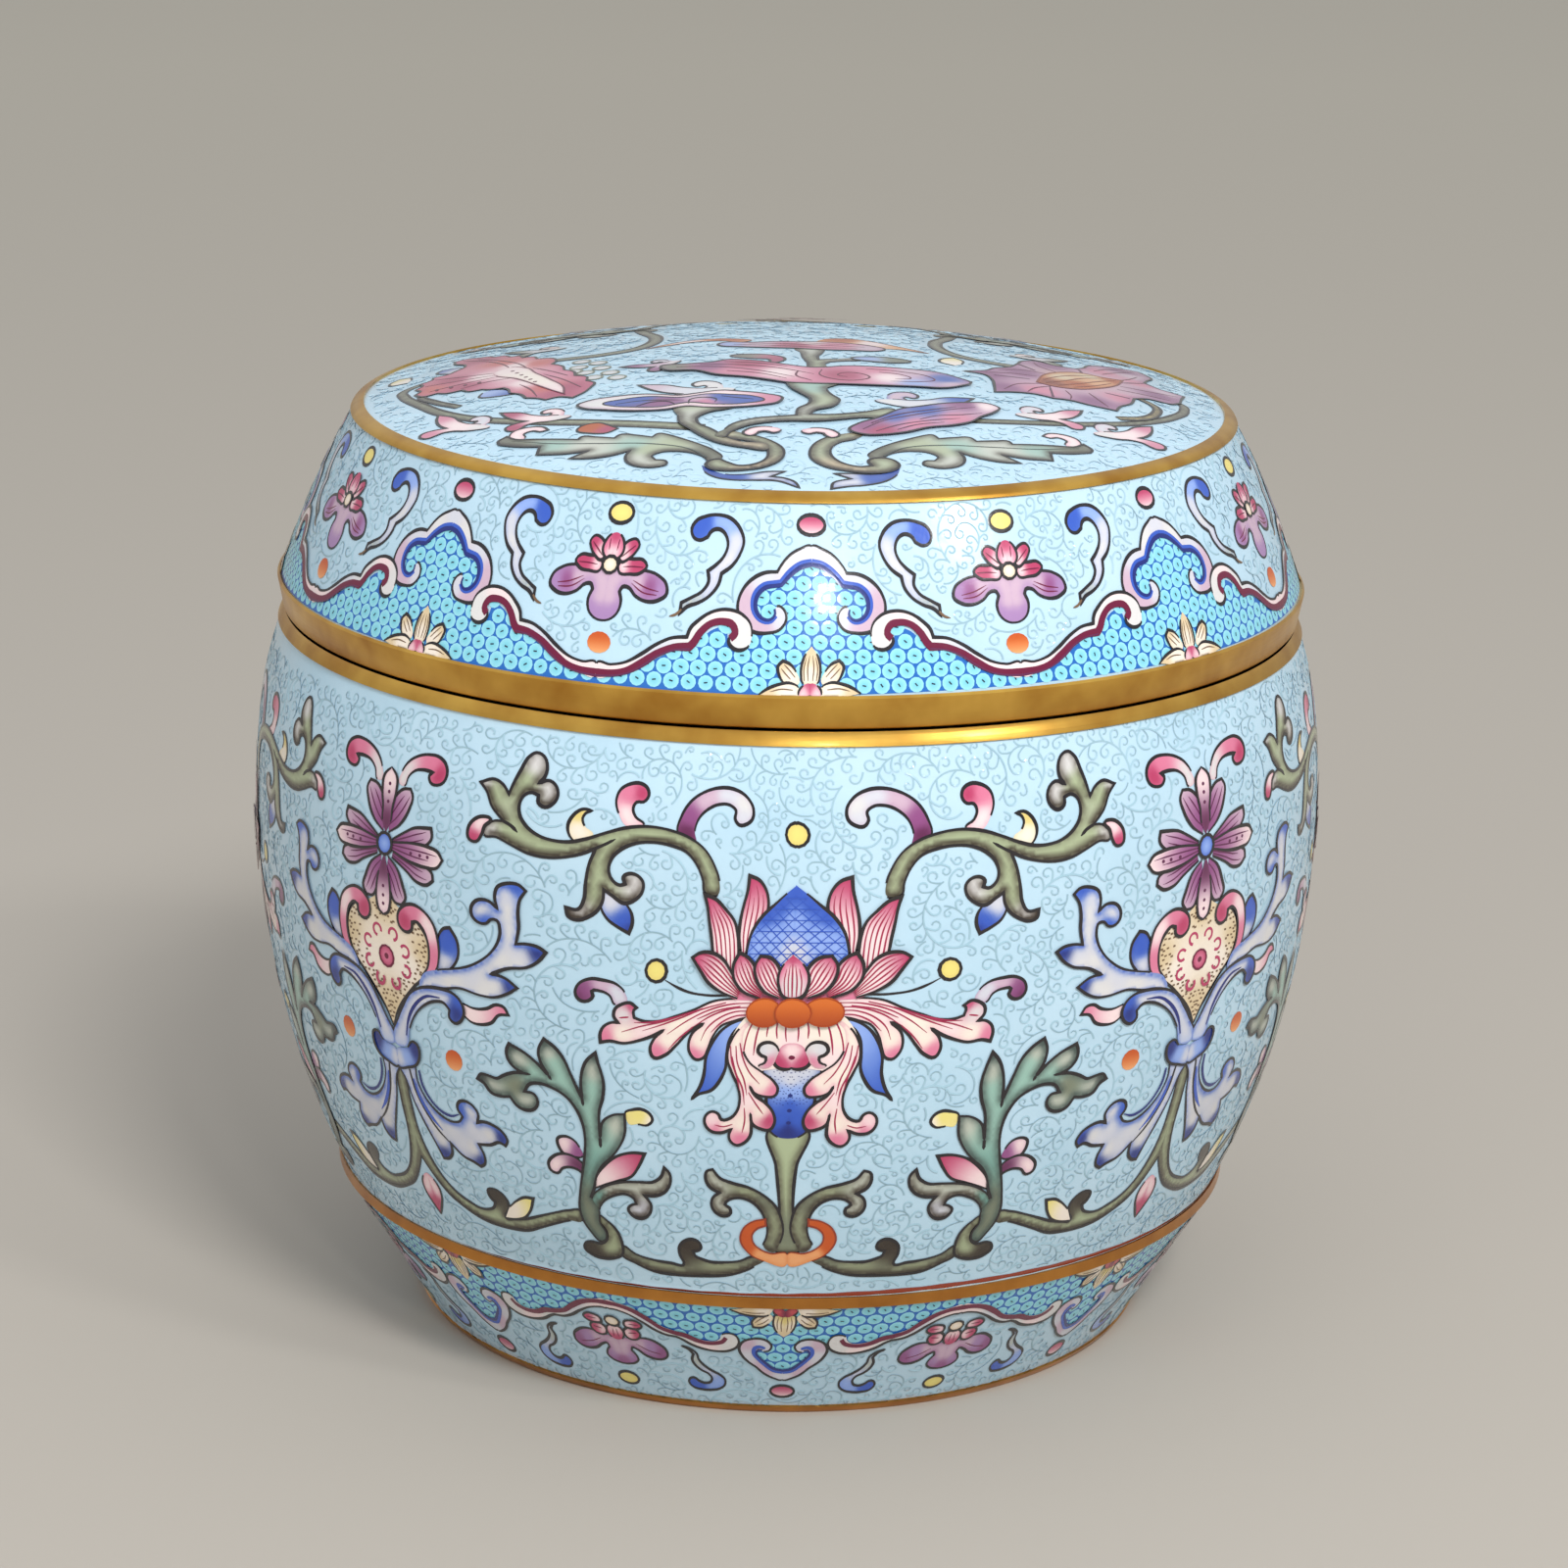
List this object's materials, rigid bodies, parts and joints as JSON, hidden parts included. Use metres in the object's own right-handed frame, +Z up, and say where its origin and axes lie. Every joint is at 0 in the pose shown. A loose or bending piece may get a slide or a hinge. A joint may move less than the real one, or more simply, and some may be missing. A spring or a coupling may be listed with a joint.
{
  "type": "carved lidded jar",
  "caption": "Drum-shaped hollow porcelain jar with a tapering foot, a gilt rim and a domed lid that lifts straight off.",
  "frame": {"origin": "centre of the foot ring, on the surface that the jar stands on", "axes": "+Z up along the jar's axis; -Y faces the viewer, through the middle of one of the four main lotus flowers; +X to the viewer's right"},
  "size_m": [0.14, 0.14, 0.1278],
  "materials": {
    "jar_glaze": "glossy pale blue enamel ground over porcelain, with painted flowers and gilt bands",
    "lid_glaze": "glossy pale blue enamel ground over porcelain, with painted flowers and gilt bands",
    "gilding": "satin gilding, burnished a little along the rims",
    "enamel": "glossy painted enamels in pink, purple, blue, green, yellow and orange with dark outlines"
  },
  "bodies": {
    "root": {"jar": "jar_glaze", "lid": "lid_glaze"}
  },
  "joints": []
}
